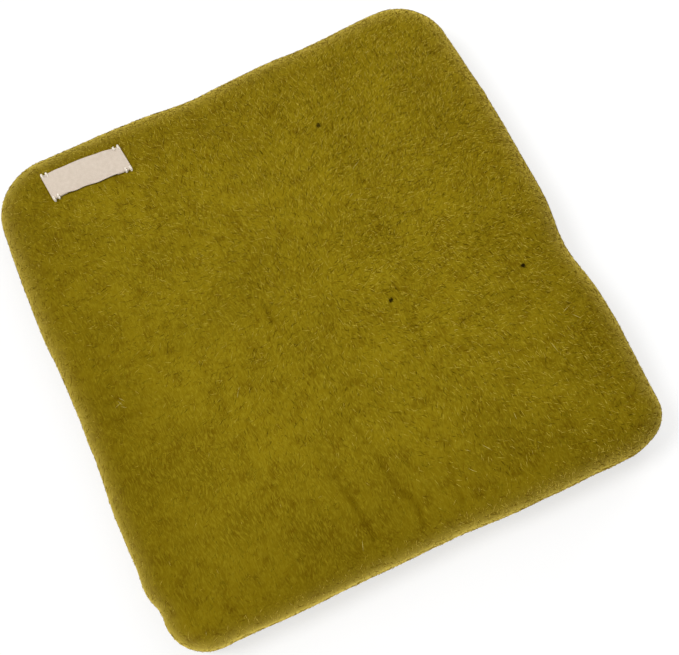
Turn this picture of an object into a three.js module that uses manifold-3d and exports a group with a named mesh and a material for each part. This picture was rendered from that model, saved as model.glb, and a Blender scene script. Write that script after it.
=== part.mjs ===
// A needle felting mat: a thick, nearly square pad of felted wool that backs the work while a barbed
// needle is pushed through it. A dyed felt cover is wrapped over four crosswise wool batts, turned
// under, and felted along a feathered lap to a base sheet. A short folded tape label lies near one
// corner of the top, held by a thread tack at each of its own corners.
// Millimetres, +Z up. The mat rests on z = 0, centred on the Z axis, with the label towards -X and +Y.
import * as THREE from 'three';
import { mergeVertices } from 'three/addons/utils/BufferGeometryUtils.js';
import Module from 'manifold-3d';

// The mat: its sides before felting pulls them, its height and the rounding of its edge.
const MAT_WIDTH = 203;
const MAT_DEPTH = 208;
const MAT_HEIGHT = 25;
const SHOULDER_REACH = 11;
const SHOULDER_RISE = 10;
const BASE_ROUND = 5;
const MOST_SHOULDER_SHARE = 0.5;
const MOST_BASE_SHARE = 0.4;
// The top is flat in the middle and falls away from there, over this reach, to the shoulder and beyond.
const CROWN_DROP = 1.6;
const CROWN_REACH = 21;

// Felting pulls each corner round off its square place. Listed counter-clockwise from above.
const CORNERS = [
  { sideX: 1, sideY: 1, radius: 22, pullX: -2.8, pullY: 2.6 },
  { sideX: -1, sideY: 1, radius: 24, pullX: 1.4, pullY: -2.0 },
  { sideX: -1, sideY: -1, radius: 18, pullX: 1.2, pullY: 1.5 },
  { sideX: 1, sideY: -1, radius: 17, pullX: -1.1, pullY: -0.2 },
];
const LEAST_CORNER_RADIUS = 4;
// Each side runs up to the corner of the same place in the list. It bows out or in between its
// corners and is drawn in by one shallow dent, placed from its middle along the way it runs.
const SIDES = [
  { bow: 2.4, dent: 3.3, dentAt: -18, dentReach: 17 },
  { bow: -1.1, dent: 1.6, dentAt: 10, dentReach: 15 },
  { bow: 1.6, dent: 1.7, dentAt: -2, dentReach: 22 },
  { bow: -0.2, dent: 0.6, dentAt: -25, dentReach: 30 },
];
const SIDE_STEPS = 7;
const CORNER_STEPS = 4;
const SHOULDER_STEPS = 4;
const BASE_ROUND_STEPS = 2;
const ROOF_STEPS = 2;

// The felt cover, the flat of its turned-under hem, and the lap where hem and base sheet thin out over
// each other.
const COVER_THICKNESS = 4;
const HEM_FLAT = 7;
const LAP_WIDTH = 12;
const FEATHER_THICKNESS = 0.8;
const FELT_GAP = 0.3;

// The core: carded batts stacked in the space that the cover and the base sheet leave.
const BATT_COUNT = 4;
const BATT_EDGE_ROUND = 0.9;

// The label: a woven tape whose ends are folded under, laid along the back edge of the mat.
const LABEL_LENGTH = 32.6;
const LABEL_WIDTH = 11.5;
const LABEL_FROM_LEFT = 24.7;
const LABEL_FROM_BACK = 13.8;
const LABEL_SKEW = 1.4;
const LABEL_FOLD = 6;
const LABEL_SAG_RUN = 4;
const LABEL_EAR = 0.8;
const LABEL_EAR_RUN = 2.6;
// The back edge bows out, and the front edge runs in towards the right end.
const LABEL_BOW = 0.9;
const LABEL_TAPER = 0.7;
const TAPE_THICKNESS = 0.35;
const TAPE_FOLD_SPACE = 0.3;
const TAPE_ACROSS_STEPS = 4;
const TAPE_ALONG_STEPS = 12;
const TAPE_BEND_STEPS = 4;

// The tacks: at each label corner one thread takes two stitches over the long edge of the tape.
const THREAD_DIAMETER = 0.6;
const THREAD_SIDES = 5;
const THREAD_STEPS = 18;
const TACK_FROM_END = 1.2;
const TACK_PITCH = 2.4;
const TACK_BITE = 1.6;
const TACK_REACH = 1.1;

const COLOURS = { felt: 0x816d11, wool: 0xe6dcc3, tape: 0xe9e1d3, thread: 0xf2ead9 };
const ROUGHNESS = 0.95;

const wasm = await Module();
wasm.setup();

// Sizes that follow from those above. The rounds give way where the mat is too thin for them.
const edgeHeight = MAT_HEIGHT - CROWN_DROP;
const shoulderRise = Math.min(SHOULDER_RISE, MOST_SHOULDER_SHARE * edgeHeight);
const baseRound = Math.min(BASE_ROUND, MOST_BASE_SHARE * edgeHeight);
const flatInset = SHOULDER_REACH + CROWN_REACH;
const innerShoulderReach = Math.max(SHOULDER_REACH - COVER_THICKNESS, FELT_GAP);
const innerShoulderRise = Math.max(shoulderRise - COVER_THICKNESS, FELT_GAP);
const innerBaseRound = Math.max(baseRound - COVER_THICKNESS, FELT_GAP);
const lapStart = COVER_THICKNESS + innerBaseRound + HEM_FLAT;
const hemTip = lapStart + LAP_WIDTH;
const baseTop = COVER_THICKNESS + FELT_GAP + FEATHER_THICKNESS;
const coreBottom = baseTop + FELT_GAP;
const coreTop = MAT_HEIGHT - COVER_THICKNESS - FELT_GAP;

// The corner rounds of the outline drawn in by an inset. A round keeps its middle until it runs out.
function cornerRounds(inset) {
  return CORNERS.map(({ sideX, sideY, radius, pullX, pullY }) => {
    const left = Math.max(radius - inset, LEAST_CORNER_RADIUS);
    const x = sideX * (MAT_WIDTH / 2 - inset - left) + pullX;
    const y = sideY * (MAT_DEPTH / 2 - inset - left) + pullY;
    return { centre: new THREE.Vector2(x, y), radius: left };
  });
}

// The outward normal of the straight line that touches two corner rounds.
function sideNormal(from, to) {
  const along = to.centre.clone().sub(from.centre);
  const lean = (from.radius - to.radius) / along.length();
  along.normalize();
  const out = new THREE.Vector2(along.y, -along.x);
  return out.multiplyScalar(Math.sqrt(1 - lean * lean)).addScaledVector(along, lean);
}

// How far a side stands out from its straight line, at a share of the way along it.
function sideSwell({ bow, dent, dentAt, dentReach }, share, length) {
  const fromDent = ((share - 0.5) * length - dentAt) / dentReach;
  return bow * 4 * share * (1 - share) - dent * Math.exp(-fromDent * fromDent);
}

// The outline as a belt round the four corner rounds, counter-clockwise, drawn in by an inset.
function drawOutline(inset) {
  const rounds = cornerRounds(inset);
  const before = (i) => rounds[(i + rounds.length - 1) % rounds.length];
  const normals = rounds.map((round, i) => sideNormal(before(i), round));
  const points = [];
  rounds.forEach((round, i) => {
    const normal = normals[i];
    const start = before(i).centre.clone().addScaledVector(normal, before(i).radius);
    const end = round.centre.clone().addScaledVector(normal, round.radius);
    const length = start.distanceTo(end);
    for (let step = 0; step < SIDE_STEPS; step += 1) {
      const share = step / SIDE_STEPS;
      const swell = sideSwell(SIDES[i], share, length);
      points.push(start.clone().lerp(end, share).addScaledVector(normal, swell));
    }
    const first = normal.angle();
    const fullTurn = 2 * Math.PI;
    const turn = (normals[(i + 1) % normals.length].angle() - first + fullTurn) % fullTurn;
    for (let step = 0; step < CORNER_STEPS; step += 1) {
      const angle = first + (turn * step) / CORNER_STEPS;
      const arm = new THREE.Vector2(Math.cos(angle), Math.sin(angle));
      points.push(round.centre.clone().addScaledVector(arm, round.radius));
    }
  });
  return points;
}

const middle = new THREE.Box2().setFromPoints(drawOutline(0)).getCenter(new THREE.Vector2());

function outlineAt(inset) {
  return drawOutline(inset).map((point) => point.sub(middle));
}

function ring(inset, z) {
  return outlineAt(inset).map(({ x, y }) => new THREE.Vector3(x, y, z));
}

// How far a point in plan lies in from the outline, by halving.
function insetAt(x, y) {
  let least = 0;
  let most = Math.min(MAT_WIDTH, MAT_DEPTH) / 2 - LEAST_CORNER_RADIUS;
  const halvings = 24;
  for (let i = 0; i < halvings; i += 1) {
    const inset = (least + most) / 2;
    if (isInside(x, y, outlineAt(inset))) {
      least = inset;
    } else {
      most = inset;
    }
  }
  return least;
}

function isInside(x, y, outline) {
  let inside = false;
  outline.forEach((a, i) => {
    const b = outline[(i + 1) % outline.length];
    if (a.y > y !== b.y > y && x < a.x + ((y - a.y) / (b.y - a.y)) * (b.x - a.x)) {
      inside = !inside;
    }
  });
  return inside;
}

// The fall of a quarter ellipse from its top, at a share of its reach in from the edge.
function roundFall(share) {
  const out = Math.max(0, 1 - share);
  return 1 - Math.sqrt(Math.max(0, 1 - out * out));
}

function crownFall(inset) {
  return CROWN_DROP * Math.max(0, 1 - inset / flatInset) ** 2;
}

// Height of the cover's outside, from the widest line of its edge up and in over the top.
function topHeight(inset) {
  return MAT_HEIGHT - crownFall(inset) - shoulderRise * roundFall(inset / SHOULDER_REACH);
}

// The cover's inside from its wall up and in to the flat of the roof, a cover thickness in.
function roofLine() {
  const shares = [0, ...quarterSteps(ROOF_STEPS)];
  const shoulder = shares.map((share) => COVER_THICKNESS + share * innerShoulderReach);
  return [...shoulder, flatInset].map((inset) => {
    const fall = innerShoulderRise * roundFall((inset - COVER_THICKNESS) / innerShoulderReach);
    return { inset, z: MAT_HEIGHT - COVER_THICKNESS - crownFall(inset) - fall };
  });
}

// A closed solid through rings with equal counts of points, listed from its top outwards and on down.
function loft(rings) {
  const count = rings[0].length;
  const index = [];
  for (let level = 0; level < rings.length - 1; level += 1) {
    for (let i = 0; i < count; i += 1) {
      const a = level * count + i;
      const b = level * count + ((i + 1) % count);
      index.push(a, a + count, b + count, a, b + count, b);
    }
  }
  const last = (rings.length - 1) * count;
  THREE.ShapeUtils.triangulateShape(rings[0], []).forEach(([a, b, c]) => index.push(a, b, c));
  THREE.ShapeUtils.triangulateShape(rings.at(-1), []).forEach(([a, b, c]) => {
    index.push(last + a, last + c, last + b);
  });
  const geometry = new THREE.BufferGeometry().setFromPoints(rings.flat());
  geometry.setIndex(index);
  return geometry;
}

// Places along a quarter round, closer together where it bends most.
function quarterSteps(count) {
  return Array.from({ length: count }, (_, i) => 1 - Math.cos(((i + 1) / count) * (Math.PI / 2)));
}

// The cover: over the top, down the side, under to the tip of the hem, and back along its inside.
function coverGeometry() {
  const rings = [ring(flatInset, MAT_HEIGHT)];
  const crownMiddle = SHOULDER_REACH + CROWN_REACH / 2;
  rings.push(ring(crownMiddle, topHeight(crownMiddle)));
  const shoulder = [0, ...quarterSteps(SHOULDER_STEPS)].map((share) => share * SHOULDER_REACH).reverse();
  shoulder.forEach((inset) => rings.push(ring(inset, topHeight(inset))));
  [0, ...quarterSteps(BASE_ROUND_STEPS)].forEach((share) => {
    const inset = share * baseRound;
    rings.push(ring(inset, baseRound * roundFall(share)));
  });
  rings.push(ring(hemTip, 0));
  rings.push(ring(hemTip, FEATHER_THICKNESS));
  rings.push(ring(lapStart, COVER_THICKNESS));
  rings.push(ring(COVER_THICKNESS + innerBaseRound, COVER_THICKNESS));
  rings.push(ring(COVER_THICKNESS, COVER_THICKNESS + innerBaseRound));
  roofLine().forEach(({ inset, z }) => rings.push(ring(inset, z)));
  return loft(rings);
}

// The base sheet: full thickness in the middle, thinning out over the feathered hem.
function baseGeometry() {
  return loft([
    ring(lapStart, baseTop),
    ring(lapStart, COVER_THICKNESS + FELT_GAP),
    ring(hemTip + FELT_GAP, FEATHER_THICKNESS + FELT_GAP),
    ring(hemTip + FELT_GAP, 0),
  ]);
}

// The least inset at which the core stays clear of the cover's inside at a height.
function coreInset(z) {
  const line = roofLine();
  const above = line.findIndex((point) => point.z > z + FELT_GAP);
  let roof = above === 0 ? COVER_THICKNESS : flatInset;
  if (above > 0) {
    const from = line[above - 1];
    const to = line[above];
    roof = THREE.MathUtils.mapLinear(z + FELT_GAP, from.z, to.z, from.inset, to.inset);
  }
  const below = Math.max(0, COVER_THICKNESS + innerBaseRound - (z - FELT_GAP));
  return Math.max(roof, COVER_THICKNESS + below) + FELT_GAP;
}

// One batt of the core, its edge following the cover's inside and soft at its top and bottom.
function battGeometry(place) {
  const pitch = (coreTop - coreBottom + FELT_GAP) / BATT_COUNT;
  const bottom = coreBottom + place * pitch;
  const thickness = pitch - FELT_GAP;
  const round = Math.min(BATT_EDGE_ROUND, thickness / 3);
  const heights = [thickness, thickness - round, thickness / 2, round, 0];
  return loft(
    heights.map((height) => {
      const soft = height === thickness || height === 0 ? round : 0;
      return ring(coreInset(bottom + height) + soft, bottom + height);
    }),
  );
}

const labelX = -MAT_WIDTH / 2 + LABEL_FROM_LEFT + LABEL_LENGTH / 2 - middle.x;
const labelY = MAT_DEPTH / 2 - LABEL_FROM_BACK - LABEL_WIDTH / 2 - middle.y;

// A point at a place along and across the label, lifted from the top of the cover.
function onCover(along, across, lift) {
  const x = labelX + along - (LABEL_SKEW * across) / LABEL_WIDTH;
  const y = labelY + across;
  return new THREE.Vector3(x, y, topHeight(insetAt(x, y)) + lift);
}

// How far the back edge, or the front one for an edge below 0, lies from the label's middle. The tacks
// draw its corners out into small ears.
function labelHalfWidth(along, edge) {
  const eared = 1 - (LABEL_LENGTH / 2 - Math.abs(along)) / LABEL_EAR_RUN;
  const half = LABEL_WIDTH / 2 + LABEL_EAR * Math.max(0, eared) ** 2;
  const share = (2 * along) / LABEL_LENGTH;
  return edge > 0 ? half + LABEL_BOW * (1 - share * share) : half - (LABEL_TAPER * (1 + share)) / 2;
}

// The tape's middle line seen from its long edge: flap, fold, a sagging top run, fold, flap.
function tapeLine() {
  const bend = (TAPE_THICKNESS + TAPE_FOLD_SPACE) / 2;
  const low = TAPE_THICKNESS / 2;
  const bendX = LABEL_LENGTH / 2 - low - bend;
  const flapX = LABEL_LENGTH / 2 - LABEL_FOLD;
  const right = [new THREE.Vector2(flapX, low)];
  for (let step = 0; step <= TAPE_BEND_STEPS; step += 1) {
    const angle = (step / TAPE_BEND_STEPS - 0.5) * Math.PI;
    const out = bend * Math.cos(angle);
    right.push(new THREE.Vector2(bendX + out, low + bend + bend * Math.sin(angle)));
  }
  const left = right.map(({ x, y }) => new THREE.Vector2(-x, y)).reverse();
  const top = [];
  for (let step = 1; step < TAPE_ALONG_STEPS; step += 1) {
    const x = bendX * (1 - (2 * step) / TAPE_ALONG_STEPS);
    const sag = THREE.MathUtils.smoothstep(flapX - Math.abs(x), 0, LABEL_SAG_RUN);
    top.push(new THREE.Vector2(x, low + 2 * bend * (1 - sag)));
  }
  return [...right, ...top, ...left];
}

// A ribbon of even thickness along a line, as a closed shape.
function ribbonShape(line, thickness) {
  const edge = (side) =>
    line.map((point, i) => {
      const ahead = line[Math.min(i + 1, line.length - 1)];
      const behind = line[Math.max(i - 1, 0)];
      const along = ahead.clone().sub(behind).normalize();
      const out = new THREE.Vector2(along.y, -along.x);
      return point.clone().addScaledVector(out, (side * thickness) / 2);
    });
  return new THREE.Shape([...edge(1), ...edge(-1).reverse()]);
}

// The label: the folded tape drawn across its width, then laid on the cover with its corners out.
function labelGeometry() {
  const geometry = new THREE.ExtrudeGeometry(ribbonShape(tapeLine(), TAPE_THICKNESS), {
    depth: LABEL_WIDTH,
    steps: TAPE_ACROSS_STEPS,
    bevelEnabled: false,
  });
  const position = geometry.getAttribute('position');
  for (let i = 0; i < position.count; i += 1) {
    const along = position.getX(i);
    const share = 1 - (2 * position.getZ(i)) / LABEL_WIDTH;
    const across = share * labelHalfWidth(along, share);
    const point = onCover(along, across, FELT_GAP + position.getY(i));
    position.setXYZ(i, point.x, point.y, point.z);
  }
  return geometry;
}

// The way of one tack's thread: up beside the tape, over its edge and down through it, twice.
function tackCurve(end, edge) {
  const stitchDepth = COVER_THICKNESS / 2;
  const tapeTop = FELT_GAP + 2 * TAPE_THICKNESS + TAPE_FOLD_SPACE;
  const over = tapeTop + FELT_GAP + THREAD_DIAMETER / 2;
  const points = [0, 1].flatMap((stitch) => {
    const along = end * (LABEL_LENGTH / 2 - TACK_FROM_END - stitch * TACK_PITCH);
    const half = labelHalfWidth(along, edge);
    const outside = half + TACK_REACH;
    const inside = half - TACK_BITE;
    return [
      [outside, -stitchDepth],
      [outside, THREAD_DIAMETER / 2],
      [half + THREAD_DIAMETER, over - THREAD_DIAMETER],
      [half - THREAD_DIAMETER, over],
      [inside, tapeTop - THREAD_DIAMETER / 2],
      [inside, -stitchDepth],
    ].map(([across, lift]) => onCover(along, edge * across, lift));
  });
  return new THREE.CatmullRomCurve3(points);
}

function threadGeometry(curve, diameter) {
  const section = new THREE.Shape();
  for (let i = 0; i < THREAD_SIDES; i += 1) {
    const angle = (2 * Math.PI * i) / THREAD_SIDES;
    const x = (diameter / 2) * Math.cos(angle);
    const y = (diameter / 2) * Math.sin(angle);
    if (i === 0) {
      section.moveTo(x, y);
    } else {
      section.lineTo(x, y);
    }
  }
  return new THREE.ExtrudeGeometry(section, { steps: THREAD_STEPS, extrudePath: curve });
}

function solidOf(geometry) {
  const plain = geometry.clone();
  plain.deleteAttribute('normal');
  plain.deleteAttribute('uv');
  const merged = mergeVertices(plain);
  return new wasm.Manifold(
    new wasm.Mesh({
      numProp: 3,
      vertProperties: Float32Array.from(merged.getAttribute('position').array),
      triVerts: Uint32Array.from(merged.getIndex().array),
    }),
  );
}

// A geometry with clear channels cut through it for the threads.
function cutChannels(geometry, channels) {
  const cut = channels.reduce((solid, channel) => solid.subtract(channel), solidOf(geometry));
  const { vertProperties, triVerts } = cut.getMesh();
  const result = new THREE.BufferGeometry();
  result.setAttribute('position', new THREE.BufferAttribute(vertProperties, 3));
  result.setIndex(new THREE.BufferAttribute(triVerts, 1));
  return result;
}

function piece(name, geometry, color) {
  const material = new THREE.MeshStandardMaterial({ color, roughness: ROUGHNESS, metalness: 0 });
  geometry.computeVertexNormals();
  const mesh = new THREE.Mesh(geometry, material);
  mesh.name = name;
  return mesh;
}

const tacks = [
  { name: 'label_tack_back_left', end: -1, edge: 1 },
  { name: 'label_tack_back_right', end: 1, edge: 1 },
  { name: 'label_tack_front_left', end: -1, edge: -1 },
  { name: 'label_tack_front_right', end: 1, edge: -1 },
].map(({ name, end, edge }) => ({ name, curve: tackCurve(end, edge) }));
const channelDiameter = THREAD_DIAMETER + 2 * FELT_GAP;
const channels = tacks.map(({ curve }) => solidOf(threadGeometry(curve, channelDiameter)));

const mat = new THREE.Group();
mat.name = 'needle_felting_mat';
mat.add(piece('cover_top', cutChannels(coverGeometry(), channels), COLOURS.felt));
mat.add(piece('cover_base', baseGeometry(), COLOURS.felt));
for (let place = 0; place < BATT_COUNT; place += 1) {
  mat.add(piece(`core_batt_${place + 1}`, battGeometry(place), COLOURS.wool));
}
mat.add(piece('label_tape', cutChannels(labelGeometry(), channels), COLOURS.tape));
tacks.forEach(({ name, curve }) => {
  mat.add(piece(name, threadGeometry(curve, THREAD_DIAMETER), COLOURS.thread));
});

export default mat;
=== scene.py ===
"""Dresses the needle felting mat: its felted cover, its wool core and its sewn label, in a plain studio.

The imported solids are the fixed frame. Everything is in metres in that frame, and a size is written in
millimetres times MM, as the mat would be measured on a bench.
"""

import logging
import math
from collections.abc import Callable, Iterable, Sequence
from dataclasses import dataclass, field
from enum import Enum
from functools import partial
from typing import Any, Optional

import bpy
import numpy as np
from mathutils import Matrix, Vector, noise
from mathutils.bvhtree import BVHTree


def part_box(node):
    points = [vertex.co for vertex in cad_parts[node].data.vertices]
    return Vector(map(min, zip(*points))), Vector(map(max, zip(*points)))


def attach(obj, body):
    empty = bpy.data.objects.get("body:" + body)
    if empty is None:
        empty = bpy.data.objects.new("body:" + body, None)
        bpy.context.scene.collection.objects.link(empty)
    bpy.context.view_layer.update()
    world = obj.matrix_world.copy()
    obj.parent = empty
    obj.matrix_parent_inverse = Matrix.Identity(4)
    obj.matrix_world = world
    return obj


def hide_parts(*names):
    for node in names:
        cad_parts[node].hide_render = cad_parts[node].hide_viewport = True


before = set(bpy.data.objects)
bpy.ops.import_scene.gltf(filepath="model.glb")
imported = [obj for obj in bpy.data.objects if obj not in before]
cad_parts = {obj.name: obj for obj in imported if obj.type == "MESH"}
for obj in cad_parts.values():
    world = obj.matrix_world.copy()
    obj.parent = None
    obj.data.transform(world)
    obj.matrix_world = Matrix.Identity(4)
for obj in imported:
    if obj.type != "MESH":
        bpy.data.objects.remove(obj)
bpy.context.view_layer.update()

MM = 0.001
TINY = 1e-9
BODY = "root"
# Marks for the felt's painted shade, and for the nearness to its rim that holds the painted sheen.
PAINTED_SHADE = "painted_shade"
RIM = "rim"
log = logging.getLogger("felting_mat")

Plan = tuple[float, float]
Point = tuple[float, float, float]
Face = tuple[int, ...]
Rings = list[tuple[np.ndarray, float]]
Mesh = bpy.types.Mesh
Piece = bpy.types.Object
Tree = bpy.types.GeometryNodeTree
Socket = bpy.types.NodeSocket
Inputs = dict[Any, Any]
AddNode = Callable[..., Optional[Socket]]


def linear(colour: str) -> tuple[float, float, float, float]:
    """Turns an sRGB colour into the linear one that the shaders take.

    Args:
        colour: Colour as "#rrggbb".

    Returns:
        Linear red, green and blue, and an alpha of 1.
    """
    parts = [int(colour[i : i + 2], 16) / 255 for i in (1, 3, 5)]
    red, green, blue = [p / 12.92 if p <= 0.04045 else ((p + 0.055) / 1.055) ** 2.4 for p in parts]
    return red, green, blue, 1.0


def per_metre(size: float) -> float:
    """Gives the texture scale on Object coordinates that repeats at a real size in metres."""
    return 1 / size


def in_mm(*places: Plan) -> tuple[Plan, ...]:
    """Turns places in millimetres into places in the frame."""
    return tuple((x * MM, y * MM) for x, y in places)


def bell(off: Any, reach: float) -> Any:
    """Gives 1 at a distance of 0, falling off smoothly to nothing well beyond a reach."""
    return np.exp(-((off / reach) ** 2))


def quarter(steps: int) -> list[Plan]:
    """Gives the sine and cosine at even steps of a quarter turn, from 0 on."""
    return [(math.sin(angle), math.cos(angle)) for angle in np.linspace(0, math.pi / 2, steps)]


def hills(points: np.ndarray, size: float, shift: float) -> np.ndarray:
    """Gives smooth noise at many points.

    Args:
        points: Rows of points.
        size: Distance between hills.
        shift: Moves the noise, so that layers differ.

    Returns:
        Heights from about -1 to 1.
    """
    step = Vector((shift, shift, shift))
    return np.array([noise.noise(Vector(p) / size + step) for p in points])


def add_node(
    tree: bpy.types.NodeTree, kind: str, inputs: Optional[Inputs] = None, out: Any = 0, **settings: Any
) -> Optional[Socket]:
    """Adds a node to a shader or geometry tree.

    Args:
        tree: Tree that takes the node.
        kind: Blender's type name of the node.
        inputs: A value, or the output socket to link, for each input by its name or place.
        out: Name or place of the output that is wanted.
        settings: Properties of the node by name.

    Returns:
        That output, or None where the node has no outputs.
    """
    node = tree.nodes.new(kind)
    for name, value in settings.items():
        setattr(node, name, value)
    for key, value in (inputs or {}).items():
        if isinstance(value, Socket):
            tree.links.new(value, node.inputs[key])
        else:
            node.inputs[key].default_value = value
    return node.outputs[out] if len(node.outputs) else None


def empty_tree(owner: bpy.types.ID) -> AddNode:
    """Empties the node tree of a material or a world, and gives add_node for that tree."""
    owner.use_nodes = True
    owner.node_tree.nodes.clear()
    return partial(add_node, owner.node_tree)


def new_tree(name: str, inputs: dict[str, str], made: str) -> tuple[Tree, AddNode]:
    """Starts a Geometry Nodes tree.

    Args:
        name: Name of the tree.
        inputs: Kind of each input socket by the input's name.
        made: Name of the geometry that the tree gives.

    Returns:
        The tree, and add_node for it.
    """
    tree = bpy.data.node_groups.new(name, "GeometryNodeTree")
    for socket, kind in inputs.items():
        tree.interface.new_socket(socket, in_out="INPUT", socket_type=f"NodeSocket{kind}")
    tree.interface.new_socket(made, in_out="OUTPUT", socket_type="NodeSocketGeometry")
    return tree, partial(add_node, tree)


def grow(piece: Piece, tree: Tree, values: dict[str, Any]) -> None:
    """Puts a Geometry Nodes tree on a piece.

    Args:
        piece: Object that takes the tree.
        tree: The tree.
        values: Value of each of its inputs by name.
    """
    modifier = piece.modifiers.new(tree.name, "NODES")
    modifier.node_group = tree
    for item in tree.interface.items_tree:
        if item.name in values:
            modifier[item.identifier] = values[item.name]


def seen_directly(node: AddNode) -> Socket:
    """Adds the nodes that tell rays which show a surface from rays which only light others.

    Args:
        node: add_node for a material's or world's tree.

    Returns:
        1 for a ray from the camera, also by gloss or through something clear, and 0 for others.
    """
    path = node("ShaderNodeLightPath").node.outputs
    seen = node("ShaderNodeMath", {0: path["Is Camera Ray"], 1: path["Is Glossy Ray"]}, operation="MAXIMUM")
    return node("ShaderNodeMath", {0: seen, 1: path["Is Transmission Ray"]}, operation="MAXIMUM")


def new_mesh(name: str, points: Sequence[Point], faces: Iterable[Face]) -> Mesh:
    """Makes a mesh.

    Args:
        name: Name of the mesh.
        points: Its points in the frame.
        faces: Its faces as places in the list of points.

    Returns:
        The mesh.
    """
    mesh = bpy.data.meshes.new(name)
    mesh.from_pydata([tuple(p) for p in points], [], [tuple(f) for f in faces])
    mesh.update()
    return mesh


def linked(name: str, data: bpy.types.ID) -> Piece:
    """Makes an object of some data at the origin, linked to the scene."""
    made = bpy.data.objects.new(name, data)
    bpy.context.scene.collection.objects.link(made)
    return made


def modified_mesh(piece: Piece) -> Mesh:
    """Makes a mesh of a piece as its modifiers leave it."""
    depsgraph = bpy.context.evaluated_depsgraph_get()
    return bpy.data.meshes.new_from_object(piece.evaluated_get(depsgraph), depsgraph=depsgraph)


def settle(piece: Piece) -> Piece:
    """Turns a piece with its modifiers into a plain mesh, and removes the modifiers.

    Args:
        piece: A mesh object.

    Returns:
        The same object with the new mesh.
    """
    mesh, old = modified_mesh(piece), piece.data
    piece.modifiers.clear()
    piece.data = mesh
    mesh.name = piece.name
    bpy.data.meshes.remove(old)
    return piece


def reshaped(piece: Piece, kind: str, **settings: Any) -> Piece:
    """Lets one modifier shape a piece.

    Args:
        piece: A mesh object.
        kind: Blender's type name of the modifier.
        settings: Properties of the modifier by name.

    Returns:
        The same object as a plain mesh.
    """
    modifier = piece.modifiers.new(kind.lower(), kind)
    for name, value in settings.items():
        setattr(modifier, name, value)
    return settle(piece)


def rows_of(mesh: Mesh, what: str = "co") -> np.ndarray:
    """Gives the place of each of a mesh's points, or its normal, as an array of rows."""
    flat = np.empty(3 * len(mesh.vertices))
    mesh.vertices.foreach_get(what, flat)
    return flat.reshape(-1, 3)


def move_points(mesh: Mesh, points: np.ndarray) -> None:
    """Puts a mesh's points at new places, one row for each."""
    mesh.vertices.foreach_set("co", points.ravel())
    mesh.update()


def mark_points(mesh: Mesh, name: str, values: np.ndarray) -> None:
    """Stores a value at each of a mesh's points under a name."""
    marks = mesh.attributes.new(name, "FLOAT", "POINT")
    marks.data.foreach_set("value", values.astype(np.float32))


def smooth_shading(piece: Piece) -> None:
    """Shades all faces of a piece smooth."""
    piece.data.polygons.foreach_set("use_smooth", [True] * len(piece.data.polygons))


def loft(rings: Rings) -> tuple[list[Point], list[Face]]:
    """Joins level rings into a closed skin, from the top ring outwards and down to the bottom one.

    Args:
        rings: For each ring its points in plan, as many in each, and its height.

    Returns:
        The skin's points and faces.
    """
    count = len(rings[0][0])
    points = [(x, y, z) for ring, z in rings for x, y in ring]
    faces: list[Face] = [tuple(range(count))]
    for level in range(len(rings) - 1):
        for i in range(count):
            a, b = level * count + i, level * count + (i + 1) % count
            faces.append((a, a + count, b + count, b))
    last = (len(rings) - 1) * count
    faces.append(tuple(last + i for i in reversed(range(count))))
    return points, faces


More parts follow.
